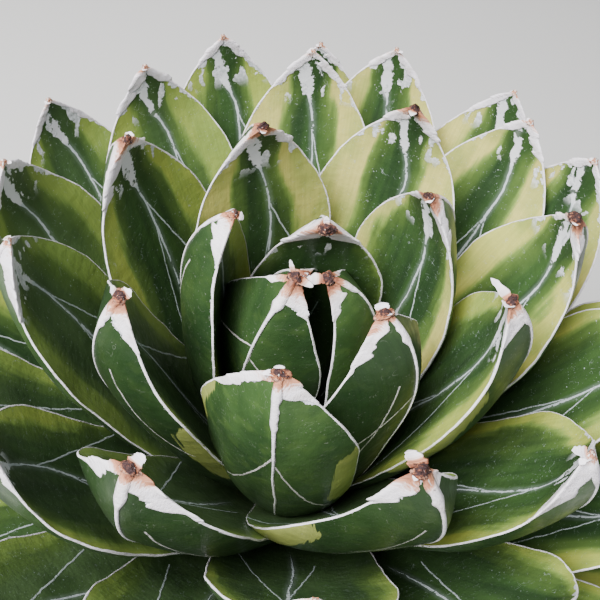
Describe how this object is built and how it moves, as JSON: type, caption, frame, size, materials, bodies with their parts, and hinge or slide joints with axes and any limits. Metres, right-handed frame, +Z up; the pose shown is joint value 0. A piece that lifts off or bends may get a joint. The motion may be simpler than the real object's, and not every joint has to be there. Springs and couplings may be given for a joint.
{
  "type": "queen victoria agave in a plain pot",
  "caption": "Compact agave rosette of stiff, keeled, white-edged leaves on a short heart, rooted in gritty soil in a plain round pot.",
  "frame": {"origin": "middle of the pot's foot, on the surface it stands on", "axes": "+Z up, -Y towards the viewer's side"},
  "size_m": [0.2973, 0.2966, 0.3203],
  "materials": {
    "terracotta": "matt, unglazed",
    "soil": "rough, gritty",
    "heart": "fibrous, dry",
    "leaf": "waxy, satin"
  },
  "bodies": {
    "root": {"pot": "terracotta", "soil": "soil", "heart": "heart", "leaf_00": "leaf", "leaf_01": "leaf", "leaf_02": "leaf", "leaf_03": "leaf", "leaf_04": "leaf", "leaf_05": "leaf", "leaf_06": "leaf", "leaf_07": "leaf", "leaf_08": "leaf", "leaf_09": "leaf", "leaf_10": "leaf", "leaf_11": "leaf", "leaf_12": "leaf", "leaf_13": "leaf", "leaf_14": "leaf", "leaf_15": "leaf", "leaf_16": "leaf", "leaf_17": "leaf", "leaf_18": "leaf", "leaf_19": "leaf", "leaf_20": "leaf", "leaf_21": "leaf", "leaf_22": "leaf", "leaf_23": "leaf", "leaf_24": "leaf", "leaf_25": "leaf", "leaf_26": "leaf", "leaf_27": "leaf", "leaf_28": "leaf", "leaf_29": "leaf", "leaf_30": "leaf", "leaf_31": "leaf", "leaf_32": "leaf", "leaf_33": "leaf", "leaf_34": "leaf", "leaf_35": "leaf", "leaf_36": "leaf", "leaf_37": "leaf", "leaf_38": "leaf", "leaf_39": "leaf", "leaf_40": "leaf", "leaf_41": "leaf", "leaf_42": "leaf", "leaf_43": "leaf", "leaf_44": "leaf", "leaf_45": "leaf", "leaf_46": "leaf", "leaf_47": "leaf", "leaf_48": "leaf", "leaf_49": "leaf", "leaf_50": "leaf", "leaf_51": "leaf", "leaf_52": "leaf", "leaf_53": "leaf", "leaf_54": "leaf", "leaf_55": "leaf", "leaf_56": "leaf"}
  },
  "joints": []
}
